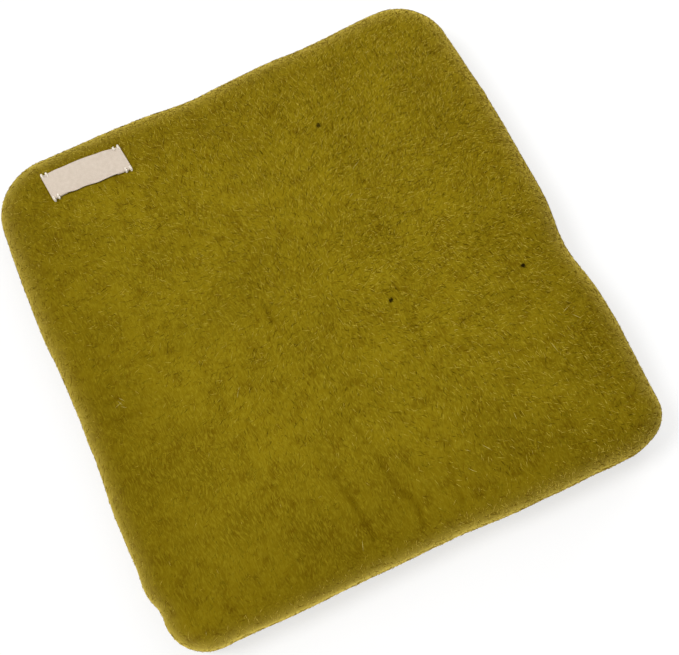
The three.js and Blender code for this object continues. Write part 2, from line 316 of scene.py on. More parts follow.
@dataclass(frozen=True)
class FeltedWool:
    """Wet-felted dyed wool: matt, mottled by an uneven blend of dyed fibres, pale at grazing angles by a
    painted sheen, and darker at its rim and creases by painted shade.
    """

    base: str = "#806d0d"
    deep: str = "#685607"
    light: str = "#8b7a17"
    warm: str = "#685306"
    # Painted shade: the tone multiplied in towards the rim and in the creases.
    painted_shade_tone: str = "#d1c8a1"
    # A painted sheen: the pale colour mixed in where the felt is seen at a grazing angle, how its share
    # grows, and how it is held to the rim.
    painted_sheen: str = "#e6ce62"
    painted_sheen_share: float = 0.92
    painted_sheen_growth: float = 2.25
    painted_sheen_from: float = 0.55
    painted_sheen_full: float = 0.855
    painted_sheen_inside: float = 0.3
    blotch: float = 26 * MM
    blotch_band: Plan = (0.22, 0.62)
    clump: float = 6 * MM
    clump_band: Plan = (0.48, 0.74)
    # Real fibres are about 0.03 mm thick: the streaks are drawn coarser, so that they show.
    fibre_width: float = 0.5 * MM
    fibre_length: float = 2.2 * MM
    fibre_band: Plan = (0.44, 0.72)
    fibre_wander: float = 14 * MM
    fibre_swing: float = 5 * MM
    relief: float = 0.25 * MM
    relief_share: float = 0.4

    def material(self) -> bpy.types.Material:
        """Builds the felt's material.

        Returns:
            A matt wool whose colour and relief come from noise on Object coordinates, with painted shade at
            the rim and in the creases and a painted sheen.
        """
        material = bpy.data.materials.new("felted_wool")
        node = empty_tree(material)
        place = node("ShaderNodeTexCoord", out="Object")
        sizes = (self.blotch, self.clump, self.fibre_wander, self.fibre_width)
        blotch, clump, wander, grit = [
            node("ShaderNodeTexNoise", {"Vector": place, "Scale": per_metre(size), "Detail": detail}, "Fac")
            for size, detail in zip(sizes, (3.0, 4.0, 1.0, 3.0))
        ]
        drift = {0: wander.node.outputs["Color"], "Scale": self.fibre_swing}
        swing = node("ShaderNodeVectorMath", drift, operation="SCALE")
        swirl = node("ShaderNodeVectorMath", {0: place, 1: swing}, operation="ADD")
        along, across = per_metre(self.fibre_length), per_metre(self.fibre_width)
        lay = node("ShaderNodeMapping", {"Vector": swirl, "Scale": (across, along, across)})
        streak = node("ShaderNodeTexNoise", {"Vector": lay, "Scale": 1.0, "Detail": 2.0}, "Fac")

        colour: Any = linear(self.deep)
        for pattern, (low, high), tone in (
            (blotch, self.blotch_band, self.base),
            (clump, self.clump_band, self.warm),
            (streak, self.fibre_band, self.light),
        ):
            share = node("ShaderNodeMapRange", {"Value": pattern, "From Min": low, "From Max": high})
            tones = {"Factor": share, 6: colour, 7: linear(tone)}
            colour = node("ShaderNodeMix", tones, 2, data_type="RGBA")
        # Painted shade: the felt's colour is darkened towards the mat's rim and in its creases, where less
        # light reaches it.
        painted_shade = node("ShaderNodeAttribute", out="Fac", attribute_name=PAINTED_SHADE)
        tones = {"Factor": painted_shade, 6: colour, 7: linear(self.painted_shade_tone)}
        painted_shade_colour = node("ShaderNodeMix", tones, 2, data_type="RGBA", blend_type="MULTIPLY")
        # Painted sheen: where the felt is seen along its surface, a pale colour is mixed in, most of all at
        # the rim, for the light that its fine fuzz catches.
        slant = node("ShaderNodeLayerWeight", out="Facing")
        grown = node("ShaderNodeMath", {0: slant, 1: self.painted_sheen_growth}, operation="POWER")
        band = {
            "Value": node("ShaderNodeAttribute", out="Fac", attribute_name=RIM),
            "From Min": self.painted_sheen_from,
            "From Max": self.painted_sheen_full,
            "To Min": self.painted_sheen_inside * self.painted_sheen_share,
            "To Max": self.painted_sheen_share,
        }
        fuzz = node("ShaderNodeMath", {0: grown, 1: node("ShaderNodeMapRange", band)}, operation="MULTIPLY")
        tones = {"Factor": fuzz, 6: painted_shade_colour, 7: linear(self.painted_sheen)}
        painted_sheen_colour = node("ShaderNodeMix", tones, 2, data_type="RGBA")
        height = node("ShaderNodeMath", {0: streak, 1: grit}, operation="ADD")
        relief = {"Strength": self.relief_share, "Distance": self.relief, "Height": height}
        finish = {
            "Base Color": painted_sheen_colour,
            "Roughness": 0.95,
            "Specular IOR Level": 0.0,
            "Normal": node("ShaderNodeBump", relief),
        }
        node("ShaderNodeOutputMaterial", {"Surface": node("ShaderNodeBsdfPrincipled", finish)})
        return material


@dataclass(frozen=True)
class WoolFibre:
    """One dyed wool fibre: a plain colour along its length, with the soft gloss that loose fibres have."""

    name: str
    colour: str
    edge_glow: str = "#ecd05c"
    glow: float = 0.1
    glow_spread: float = 0.25

    def material(self) -> bpy.types.Material:
        """Builds the fibre's material.

        Returns:
            A plain matt wool, as fibres too thin to hold a pattern have.
        """
        material = bpy.data.materials.new(f"wool_fibre_{self.name}")
        node = empty_tree(material)
        finish = {
            "Base Color": linear(self.colour),
            "Roughness": 0.85,
            "Specular IOR Level": 0.0,
            "Sheen Weight": self.glow,
            "Sheen Roughness": self.glow_spread,
            "Sheen Tint": linear(self.edge_glow),
        }
        node("ShaderNodeOutputMaterial", {"Surface": node("ShaderNodeBsdfPrincipled", finish)})
        return material


@dataclass(frozen=True)
class CardedWool:
    """Carded undyed wool of the core: cream and fluffy, with long soft streaks from the carding drum."""

    base: str = "#e6dcc3"
    shade: str = "#cdbf9f"
    streak_width: float = 1.6 * MM
    streak_length: float = 18 * MM

    def material(self) -> bpy.types.Material:
        """Builds the core wool's material.

        Returns:
            A matt cream wool with streaks on Object coordinates.
        """
        material = bpy.data.materials.new("carded_wool")
        node = empty_tree(material)
        place = node("ShaderNodeTexCoord", out="Object")
        along, across = per_metre(self.streak_length), per_metre(self.streak_width)
        lay = node("ShaderNodeMapping", {"Vector": place, "Scale": (across, along, across)})
        pattern = {"Vector": lay, "Scale": 1.0, "Detail": 4.0, "Distortion": 0.6}
        streak = node("ShaderNodeTexNoise", pattern, "Fac")
        tones = {"Factor": streak, 6: linear(self.shade), 7: linear(self.base)}
        relief = {"Strength": 0.5, "Distance": self.streak_width / 2, "Height": streak}
        finish = {
            "Base Color": node("ShaderNodeMix", tones, 2, data_type="RGBA"),
            "Roughness": 0.95,
            "Sheen Weight": 0.3,
            "Sheen Roughness": 0.5,
            "Normal": node("ShaderNodeBump", relief),
        }
        node("ShaderNodeOutputMaterial", {"Surface": node("ShaderNodeBsdfPrincipled", finish)})
        return material


@dataclass(frozen=True)
class WovenTape:
    """Plain-woven cotton tape: unbleached, close and smooth, with a fine over-and-under of its yarns."""

    yarn: str = "#e0d3c5"
    gap: str = "#b0a08c"
    # Real tape has a yarn about every 0.25 mm: it is drawn a little coarser, so that it shows.
    yarn_pitch: float = 0.38 * MM
    slub_yarns: int = 4
    least_shown: float = 0.3
    uv_name: str = "tape"

    def material(self) -> bpy.types.Material:
        """Builds the tape's material.

        Returns:
            A matt cotton whose weave follows the tape's own map, in metres.
        """
        material = bpy.data.materials.new("woven_cotton_tape")
        node = empty_tree(material)
        place = node("ShaderNodeUVMap", uv_map=self.uv_name)
        half_turns = {0: place, "Scale": math.pi * per_metre(self.yarn_pitch)}
        turned = node("ShaderNodeVectorMath", half_turns, operation="SCALE")
        parts = node("ShaderNodeSeparateXYZ", {0: turned}).node.outputs
        waves = [node("ShaderNodeMath", {0: parts[axis]}, operation="SINE") for axis in ("X", "Y")]
        crossing = node("ShaderNodeMath", dict(enumerate(waves)), operation="MULTIPLY")
        over = node("ShaderNodeMath", {0: crossing}, operation="ABSOLUTE")
        pattern = {"Vector": place, "Scale": per_metre(self.slub_yarns * self.yarn_pitch), "Detail": 2.0}
        slub = node("ShaderNodeTexNoise", pattern, "Fac")
        shown = node("ShaderNodeMath", {0: over, 1: slub, 2: self.least_shown}, operation="MULTIPLY_ADD")
        tones = {"Factor": shown, 6: linear(self.gap), 7: linear(self.yarn)}
        relief = {"Strength": 0.4, "Distance": self.yarn_pitch / 4, "Height": over}
        finish = {
            "Base Color": node("ShaderNodeMix", tones, 2, data_type="RGBA"),
            "Roughness": 0.8,
            "Specular IOR Level": 0.25,
            "Sheen Weight": 0.1,
            "Normal": node("ShaderNodeBump", relief),
        }
        node("ShaderNodeOutputMaterial", {"Surface": node("ShaderNodeBsdfPrincipled", finish)})
        return material


@dataclass(frozen=True)
class SewingThread:
    """Plied cotton sewing thread: pale, with a faint lustre on its twisted plies."""

    colour: str = "#f4eee2"
    shade: str = "#ddd2bf"
    fibre: float = 0.15 * MM

    def material(self) -> bpy.types.Material:
        """Builds the thread's material.

        Returns:
            A pale cotton with fine darker fibres on Object coordinates.
        """
        material = bpy.data.materials.new("cotton_thread")
        node = empty_tree(material)
        place = node("ShaderNodeTexCoord", out="Object")
        pattern = {"Vector": place, "Scale": per_metre(self.fibre), "Detail": 2.0}
        fuzz = node("ShaderNodeTexNoise", pattern, "Fac")
        tones = {"Factor": fuzz, 6: linear(self.shade), 7: linear(self.colour)}
        colour = node("ShaderNodeMix", tones, 2, data_type="RGBA")
        finish = {"Base Color": colour, "Roughness": 0.6, "Sheen Weight": 0.2}
        node("ShaderNodeOutputMaterial", {"Surface": node("ShaderNodeBsdfPrincipled", finish)})
        return material


@dataclass(frozen=True)
class PaperSweep:
    """White studio paper: even and matt, shown white to the camera except where the mat shades it."""

    colour: str = "#f2f2f2"
    seen_colour: str = "#a4a4a4"
    own_colour: str = "#ffffff"
    own_light: float = 0.63
    near: float = 200 * MM
    far: float = 500 * MM

    def material(self) -> bpy.types.Material:
        """Builds the floor's material.

        Returns:
            A matt paper with light of its own, towards the camera only, that makes it white far off.
        """
        material = bpy.data.materials.new("white_paper")
        node = empty_tree(material)
        place = node("ShaderNodeTexCoord", out="Object")
        off = node("ShaderNodeVectorMath", {0: place}, "Value", operation="LENGTH")
        band = {"Value": off, "From Min": self.near, "From Max": self.far, "To Min": self.own_light}
        own = node("ShaderNodeMapRange", {**band, "To Max": 1.0})
        lift = node("ShaderNodeEmission", {"Color": linear(self.own_colour), "Strength": own})
        white = node("ShaderNodeBsdfDiffuse", {"Color": linear(self.seen_colour)})
        shown = node("ShaderNodeAddShader", {0: white, 1: lift})
        paper = node("ShaderNodeBsdfDiffuse", {"Color": linear(self.colour)})
        mix = node("ShaderNodeMixShader", {"Fac": seen_directly(node), 1: paper, 2: shown})
        node("ShaderNodeOutputMaterial", {"Surface": mix})
        return material


@dataclass(frozen=True)
class CornerRound:
    """One rounded corner of the mat, and how far felting has pulled it out of square."""

    radius: float
    pull: Plan
    side: Plan


@dataclass(frozen=True)
class SideLine:
    """A side between two corners: its bow, and how deep, where and how wide it is felted in."""

    bow: float
    depth: float
    at: float
    reach: float


@dataclass(frozen=True)
class Pinch:
    """A small place on the rim that is felted in, or out if its depth is below zero."""

    place: Plan
    depth: float
    reach: float


@dataclass
class MatOutline:
    """The mat from above: four unlike corners and wavering sides, counter-clockwise from the right back."""

    width: float = 203 * MM
    depth: float = 208 * MM
    least_radius: float = 4 * MM
    side_steps: int = 48
    corner_steps: int = 16
    corners: tuple[CornerRound, ...] = (
        CornerRound(22 * MM, (-2.8 * MM, 2.6 * MM), (1, 1)),
        CornerRound(24 * MM, (1.4 * MM, -2.0 * MM), (-1, 1)),
        CornerRound(18 * MM, (1.2 * MM, 1.5 * MM), (-1, -1)),
        CornerRound(17 * MM, (-1.1 * MM, -0.2 * MM), (1, -1)),
    )
    # Each side runs up to the corner in the same place of the list.
    sides: tuple[SideLine, ...] = (
        SideLine(2.4 * MM, 3.3 * MM, -18 * MM, 17 * MM),
        SideLine(-1.1 * MM, 1.6 * MM, 10 * MM, 15 * MM),
        SideLine(1.6 * MM, 1.7 * MM, -2 * MM, 22 * MM),
        SideLine(-0.2 * MM, 0.6 * MM, -25 * MM, 30 * MM),
    )
    # Place, depth and reach of each pinch in millimetres.
    pinches: tuple[Pinch, ...] = tuple(
        Pinch((x * MM, y * MM), depth * MM, reach * MM)
        for x, y, depth, reach in (
            (-101.7, -74.3, -0.9, 6),
            (-100.5, -83.8, 1.0, 4.5),
            (-99.8, -89.0, 0.8, 7),
            (-78.0, -103.9, 0.6, 14),
            (72.0, -105.0, 0.5, 12),
            (-95.6, -101.7, -0.2, 10),
            (-101.9, -25.8, 0.8, 12),
            (-101.4, 17.7, 0.5, 9),
            (23.6, 104.7, -0.5, 10),
            (42.7, 105.3, 0.4, 10),
            (101.0, 52.0, -0.5, 14),
            (102.2, 13.7, 0.6, 14),
            (98.2, -96.1, -0.5, 7),
            (88.0, -104.0, 0.9, 8),
            (11.0, -104.2, 0.9, 14),
        )
    )
    middle: np.ndarray = field(init=False)

    def __post_init__(self) -> None:
        """Finds the middle of the outline's box, which is the frame's origin."""
        self.middle = np.zeros(2)
        line = self.ring(0.0)
        self.middle = (line.min(0) + line.max(0)) / 2

    def ring(self, inset: float) -> np.ndarray:
        """Draws the outline, or a line inside it.

        Args:
            inset: Distance inside the outline.

        Returns:
            Rows of points in plan, counter-clockwise.
        """
        centres, radii = [], []
        for corner in self.corners:
            radius = max(corner.radius - inset, self.least_radius)
            half = np.array((self.width, self.depth)) / 2 - inset - radius
            centres.append(np.array(corner.side) * half + np.array(corner.pull))
            radii.append(radius)
        sides = []
        for place, side in enumerate(self.sides):
            start, end = centres[place - 1], centres[place]
            run = end - start
            length = float(np.hypot(*run))
            along = run / length
            lean = (radii[place - 1] - radii[place]) / length
            normal = np.array((along[1], -along[0])) * math.sqrt(1 - lean**2) + along * lean
            share = np.linspace(0, 1, self.side_steps + 1)
            from_dent = (share - 0.5) * length - side.at
            swell = side.bow * 4 * share * (1 - share) - side.depth * bell(from_dent, side.reach)
            edge = radii[place - 1] + (radii[place] - radii[place - 1]) * share + swell
            sides.append((start + np.outer(share, run) + np.outer(edge, normal), normal))
        line = []
        for place, (points, normal) in enumerate(sides):
            line.extend(points)
            following = sides[(place + 1) % len(sides)]
            first = math.atan2(normal[1], normal[0])
            turn = (math.atan2(following[1][1], following[1][0]) - first) % (2 * math.pi)
            ends = [np.hypot(*(p - centres[place])) for p in (points[-1], following[0][0])]
            for step in range(1, self.corner_steps):
                share = step / self.corner_steps
                angle = first + turn * share
                reach = ends[0] + (ends[1] - ends[0]) * share
                line.append(centres[place] + reach * np.array((math.cos(angle), math.sin(angle))))
        drawn = np.array(line) - self.middle
        ahead = np.roll(drawn, -1, axis=0) - np.roll(drawn, 1, axis=0)
        outward = np.column_stack((ahead[:, 1], -ahead[:, 0])) / np.hypot(ahead[:, 0], ahead[:, 1])[:, None]
        for pinch in self.pinches:
            off = np.linalg.norm(drawn + outward * inset - np.array(pinch.place), axis=1)
            drawn = drawn - outward * (pinch.depth * bell(off, pinch.reach))[:, None]
        return drawn


@dataclass
class LabelPlace:
    """Where the label lies on the mat's top, and its size."""

    outline: MatOutline
    length: float = 33.0 * MM
    width: float = 11.1 * MM
    from_left: float = 24.1 * MM
    from_back: float = 14.4 * MM
    turn: float = math.radians(-1.5)
    skew: float = 1.4 * MM
    ear: float = 0.4 * MM
    ear_run: float = 2.6 * MM
    bow: float = 1.6 * MM
    dip: float = 0.5 * MM
    dip_at: float = -8 * MM
    dip_reach: float = 6 * MM
    ripple: float = 0.15 * MM
    ripple_pitch: float = 9.5 * MM

    def on_plan(self, along: float, across: float) -> Plan:
        """Finds a place on the label in the frame.

        Args:
            along: Distance along the label from its middle.
            across: Distance across it, towards the back.

        Returns:
            The place in plan.
        """
        x, y = self.middle()
        slid = along - self.skew * across / self.width
        cos, sin = math.cos(self.turn), math.sin(self.turn)
        return x + slid * cos - across * sin, y + slid * sin + across * cos

    def middle(self) -> Plan:
        """Gives the place in plan of the label's middle."""
        x = -self.outline.width / 2 + self.from_left + self.length / 2 - self.outline.middle[0]
        y = self.outline.depth / 2 - self.from_back - self.width / 2 - self.outline.middle[1]
        return x, y

    def beyond(self, points: np.ndarray) -> np.ndarray:
        """Measures how far points lie outside the label.

        Args:
            points: Rows of points in the frame.

        Returns:
            Distances in plan, below zero inside the label.
        """
        off = points[:, :2] - np.array(self.middle())
        cos, sin = math.cos(self.turn), math.sin(self.turn)
        across = off[:, 1] * cos - off[:, 0] * sin
        along = off[:, 0] * cos + off[:, 1] * sin + self.skew * across / self.width
        return np.maximum(np.abs(along) - self.length / 2, np.abs(across) - self.width / 2)

    def half_width(self, along: float, edge: float) -> float:
        """Gives how far a long edge lies from the label's middle.

        Args:
            along: Distance along the label from its middle.
            edge: Above 0 for the back edge, which bows out, or below it for the front one, which dips
                in at one place and ripples.

        Returns:
            The distance, with the small ears that the tacks draw out at the corners.
        """
        eared = self.ear * max(0.0, 1 - (self.length / 2 - abs(along)) / self.ear_run) ** 2
        share = 2 * along / self.length
        if edge > 0:
            return self.width / 2 + eared + self.bow * (1 - share**2)
        ripple = self.ripple * math.sin(2 * math.pi * along / self.ripple_pitch)
        return self.width / 2 + eared + ripple - self.dip * bell(along - self.dip_at, self.dip_reach)


@dataclass(frozen=True)
class Crease:
    """A shallow crease in the felted top: deepest from its first place on, and running out at its last."""

    depth: float
    path: tuple[Plan, ...]
    reach: float = 1.3 * MM
    full_run: float = 0.5

    def share(self, points: np.ndarray) -> np.ndarray:
        """Says how deep in the crease points lie.

        Args:
            points: Rows of points.

        Returns:
            1 in the crease where it is deepest, falling to 0 beside it and towards its last place.
        """
        share = np.zeros(len(points))
        for place, (start, end) in enumerate(zip(self.path, self.path[1:])):
            run = np.array(end) - np.array(start)
            off = points[:, :2] - np.array(start)
            along = np.clip(off @ run / (run @ run), 0, 1)
            gap = np.linalg.norm(off - np.outer(along, run), axis=1)
            to_go = 1 - (place + along) / (len(self.path) - 1)
            share = np.maximum(share, bell(gap, self.reach) * np.minimum(1, to_go / self.full_run))
        return share


@dataclass
class FeltCover:
    """The felted cover: one seamless skin of felt over the top, round the sides and under the mat."""

    outline: MatOutline
    label: LabelPlace
    finish: FeltedWool = FeltedWool()
    height: float = 25 * MM
    shoulder_reach: float = 11 * MM
    shoulder_rise: float = 10 * MM
    shoulder_steps: int = 13
    crown_drop: float = 1.6 * MM
    crown_reach: float = 21 * MM
    base_round: float = 4.5 * MM
    base_steps: int = 9
    thickness: float = 4 * MM
    inner_floor: float = 5.1 * MM
    inner_steps: int = 7
    # First and last distance inside the outline in millimetres, and the number of rings between them.
    crown_rings: tuple[int, int, int] = (32, 12, 6)
    roof_rings: tuple[int, int, int] = (36, 16, 4)
    base_clear: float = 0.3 * MM
    slack: float = 0.6 * MM
    voxel: float = 5 * MM
    splits: int = 2
    pressure: float = 4.0
    frames: int = 20
    swell_cap: float = 1.6 * MM
    most_proud: float = 0.9 * MM
    least_proud: float = 0.35 * MM
    # Height in millimetres, size and shift of each layer of hills that hand felting leaves.
    unevenness: tuple[Point, ...] = ((0.40, 34 * MM, 3.1), (0.20, 11 * MM, 7.7), (0.09, 4 * MM, 1.3))
    label_calm: float = 0.8
    base_calm: float = 4 * MM
    least_uneven: float = 0.15
    creases: tuple[Crease, ...] = (
        Crease(
            0.45 * MM,
            in_mm((-1.2, -95.9), (-1.0, -86.5), (-4.5, -81.4), (-5.2, -72.2), (-8.1, -55.4), (-9.6, -47.3)),
        ),
        Crease(
            0.35 * MM,
            in_mm((-19.6, -93.9), (-21.1, -78.7), (-22.8, -69.6), (-24.5, -55.9), (-27.9, -37.0)),
        ),
        Crease(0.35 * MM, in_mm((14.8, -94.3), (15.4, -86.7), (17.4, -79.5), (19.1, -71.4))),
        Crease(0.2 * MM, in_mm((-83.4, 7.8), (-70.3, 3.4), (-60.8, 2.0), (-47.3, -4.3), (-31.5, -5.6))),
        Crease(0.3 * MM, in_mm((-88.7, -14.6), (-79.5, -15.6), (-65.2, -16.5))),
        Crease(0.25 * MM, in_mm((61.2, -54.9), (50.2, -47.7), (34.8, -36.6))),
        Crease(0.55 * MM, in_mm((-19.8, -4.3), (-19.7, 0.8), (-20.2, 6.0))),
        Crease(0.35 * MM, in_mm((-7.6, 11.0), (-7.5, 18.7), (-7.6, 26.9))),
    )
    crease_mean: float = 0.8
    crease_change: float = 0.6
    crease_most: float = 1.3
    crease_pitch: float = 6 * MM
    crease_shift: float = 5.2
    deep_crease: float = 0.5 * MM
    margin_reach: float = 42 * MM
    # How strongly painted shade darkens the felt at the rim.
    rim_painted_shade: float = 0.55
    label_margin: float = 1.5 * MM
    label_bareness: float = 2.0
    underside: float = -0.9
    underside_nap: float = 0.3
    piece: Piece = field(init=False)
    surface: BVHTree = field(init=False)

    def top_height(self, inset: float) -> float:
        """Draws the section of the cover's top.

        Args:
            inset: Distance inside the outline.

        Returns:
            The height of the top there.
        """
        crown = max(0.0, 1 - inset / (self.shoulder_reach + self.crown_reach))
        shoulder = max(0.0, 1 - inset / self.shoulder_reach)
        rounded = self.shoulder_rise * (1 - math.sqrt(1 - shoulder**2))
        return self.height - self.crown_drop * crown**2 - rounded

    def outer_rings(self) -> Rings:
        """Lays out the cover's outside.

        Returns:
            Level rings from the flat of the top down to the flat of the base.
        """
        insets = list(np.linspace(*self.crown_rings) * MM)
        insets += [self.shoulder_reach * (1 - sine) for sine, _ in quarter(self.shoulder_steps)]
        section = [(inset, self.top_height(inset)) for inset in insets]
        for sine, cosine in quarter(self.base_steps):
            section.append((self.base_round * (1 - cosine), self.base_round * (1 - sine)))
        return [(self.outline.ring(inset), z) for inset, z in section]

    def inner_rings(self) -> Rings:
        """Lays out the cover's inside, the thickness of the felt within the outside.

        Returns:
            Level rings from the roof over the core down to the floor under it.
        """
        insets = list(np.linspace(*self.roof_rings) * MM)
        for sine, _ in quarter(self.inner_steps):
            insets.append(self.shoulder_reach * (1 - sine) + self.thickness)
        section = [(inset, self.top_height(inset) - self.thickness) for inset in insets]
        section.append((self.thickness, self.inner_floor))
        return [(self.outline.ring(inset), z) for inset, z in section]

    def swell(self, piece: Piece) -> None:
        """Lets the wool inside push the cover out, as a cloth under slight pressure that lies on its base.

        Args:
            piece: The cover, a little slack.
        """
        scene = bpy.context.scene
        start = rows_of(piece.data)
        resting = piece.vertex_groups.new(name="resting")
        low = [i for i, z in enumerate(start[:, 2]) if z < self.voxel / 2]
        resting.add(low, 1.0, "REPLACE")
        modifier = piece.modifiers.new("wool_loft", "CLOTH")
        modifier.settings.use_pressure = True
        modifier.settings.uniform_pressure_force = self.pressure
        modifier.settings.vertex_group_mass = resting.name
        modifier.settings.effector_weights.gravity = 0
        modifier.point_cache.frame_start = 1
        modifier.point_cache.frame_end = self.frames
        for step in range(1, self.frames + 1):
            scene.frame_set(step)
        settle(piece)
        scene.frame_set(1)
        piece.vertex_groups.clear()
        move = rows_of(piece.data) - start
        length = np.linalg.norm(move, axis=1)
        log.info("the loft pushed the cover out by up to %.2f mm", length.max() / MM)
        held = np.minimum(1, self.swell_cap / np.maximum(length, TINY))
        move_points(piece.data, start + move * held[:, None])

    def label_share(self, points: np.ndarray) -> np.ndarray:
        """Says which points lie under the label: 1 under it, falling to 0 within its margin."""
        share = np.clip(1 - self.label.beyond(points) / self.label_margin, 0, 1)
        return np.where(points[:, 2] > self.height / 2, share, 0.0)

    def fit(self, piece: Piece, skin: BVHTree) -> None:
        """Brings the swollen cover to the mat's form, and gives it the unevenness of hand felting.

        Args:
            piece: The refined cover.
            skin: Search tree of the form without unevenness.
        """
        points = rows_of(piece.data)
        for i, point in enumerate(points):
            place, normal, _, _ = skin.find_nearest(point)
            proud = (Vector(point) - place).dot(normal)
            points[i] = place + normal * min(max(proud, self.least_proud), self.most_proud)
        move_points(piece.data, points)
        calm = 1 - self.label_calm * self.label_share(points)
        calm *= np.clip(points[:, 2] / self.base_calm, self.least_uneven, 1)
        uneven = sum(rise * hills(points, size, shift) for rise, size, shift in self.unevenness)
        points += rows_of(piece.data, "normal") * (uneven * calm * MM - self.sunk(points))[:, None]
        points[:, 2] = np.maximum(points[:, 2], self.base_clear)
        move_points(piece.data, points)

    def build(self) -> None:
        """Makes the cover's outside: its form, swollen by its wool and made uneven."""
        points, faces = loft(self.outer_rings())
        skin = BVHTree.FromPolygons(points, faces)
        piece = linked("felt_cover", new_mesh("felt_cover", points, faces))
        reshaped(piece, "REMESH", mode="VOXEL", voxel_size=self.voxel)
        move_points(piece.data, rows_of(piece.data) - rows_of(piece.data, "normal") * self.slack)
        self.swell(piece)
        reshaped(piece, "SUBSURF", levels=self.splits, render_levels=self.splits)
        self.fit(piece, skin)
        corners = [polygon.vertices for polygon in piece.data.polygons]
        self.surface = BVHTree.FromPolygons([vertex.co for vertex in piece.data.vertices], corners)
        self.piece = piece

    def height_at(self, x: float, y: float) -> float:
        """Finds the height of the finished top at a place in plan."""
        return self.surface.ray_cast(Vector((x, y, 2 * self.height)), Vector((0, 0, -1)))[0].z

    def margin(self, points: np.ndarray) -> np.ndarray:
        """Says how near points lie to the mat's outline: 1 at it, falling to 0 inside it."""
        line = self.outline.ring(0.0)
        gaps = np.array([np.hypot(*(line - point[:2]).T).min() for point in points])
        return np.clip(1 - gaps / self.margin_reach, 0, 1)

    def sunk(self, points: np.ndarray) -> np.ndarray:
        """Gives the depth of the creases at points, now deeper, now shallower, and none below the top."""
        depth = np.max([crease.depth * crease.share(points) for crease in self.creases], axis=0)
        broken = self.crease_mean + self.crease_change * hills(points, self.crease_pitch, self.crease_shift)
        return np.where(points[:, 2] > self.height / 2, depth * np.clip(broken, 0, self.crease_most), 0.0)

    def creased(self, points: np.ndarray) -> np.ndarray:
        """Says how deep in a crease points lie, from 0 to 1: it gives the creases their painted shade and
        thins fibres there.
        """
        return np.clip(self.sunk(points) / self.deep_crease, 0, 1)

    def nap_share(self) -> np.ndarray:
        """Says how thickly fibres lie at each point of the cover: none under the label, few underneath."""
        share = 1 - np.minimum(1, self.label_bareness * self.label_share(rows_of(self.piece.data)))
        below = rows_of(self.piece.data, "normal")[:, 2] < self.underside
        return np.where(below, self.underside_nap, share)

    def dress(self) -> None:
        """Closes the cover with its inside, gives it its felt and ties it to the frame."""
        points, faces = loft(self.inner_rings())
        first = len(self.piece.data.vertices)
        outer = [tuple(p.vertices) for p in self.piece.data.polygons]
        inner = [tuple(first + i for i in reversed(face)) for face in faces]
        both = [tuple(v.co) for v in self.piece.data.vertices] + list(points)
        mesh = new_mesh(self.piece.name, both, outer + inner)
        places = np.array(both)
        rim = self.margin(places)
        # Painted shade towards the rim and in the creases, and the nearness to the rim for the painted
        # sheen.
        mark_points(mesh, PAINTED_SHADE, np.clip(self.rim_painted_shade * rim + self.creased(places), 0, 1))
        mark_points(mesh, RIM, rim)
        self.piece.data = mesh
        smooth_shading(self.piece)
        mesh.materials.append(self.finish.material())
        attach(self.piece, BODY)
        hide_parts("cover_top", "cover_base")


class FibrePlace(Enum):
    """Where a kind of fibre lies: all over the cover, mostly on its edges and sides, or at a few spots."""

    ALL_OVER = "all over"
    EDGES = "edges"
    SPOTS = "spots"


@dataclass(frozen=True)
class FibreLayer:
    """One kind of loose fibre: how many there are, how they lie, and where."""

    wool: WoolFibre
    fibres: int = 13000
    length: float = 2.6 * MM
    # Real fibres are about 0.03 mm thick: these are drawn coarser, so that they show.
    thickness: float = 0.2 * MM
    rise: float = 0.25 * MM
    sink: float = 0.05 * MM
    place: FibrePlace = FibrePlace.ALL_OVER
    spots: tuple[Plan, ...] = ()
    spot_reach: float = 0.95 * MM
    gather: float = 1.0
    astray: float = 0.0
    margin_thinning: float = 0.0
    # Fibres missing from the creases, where the darker felt then shows as painted shade.
    crease_thinning: float = 0.85
    worn: float = 0.9
    edge_growth: float = 1.6
    turn: float = 0.0


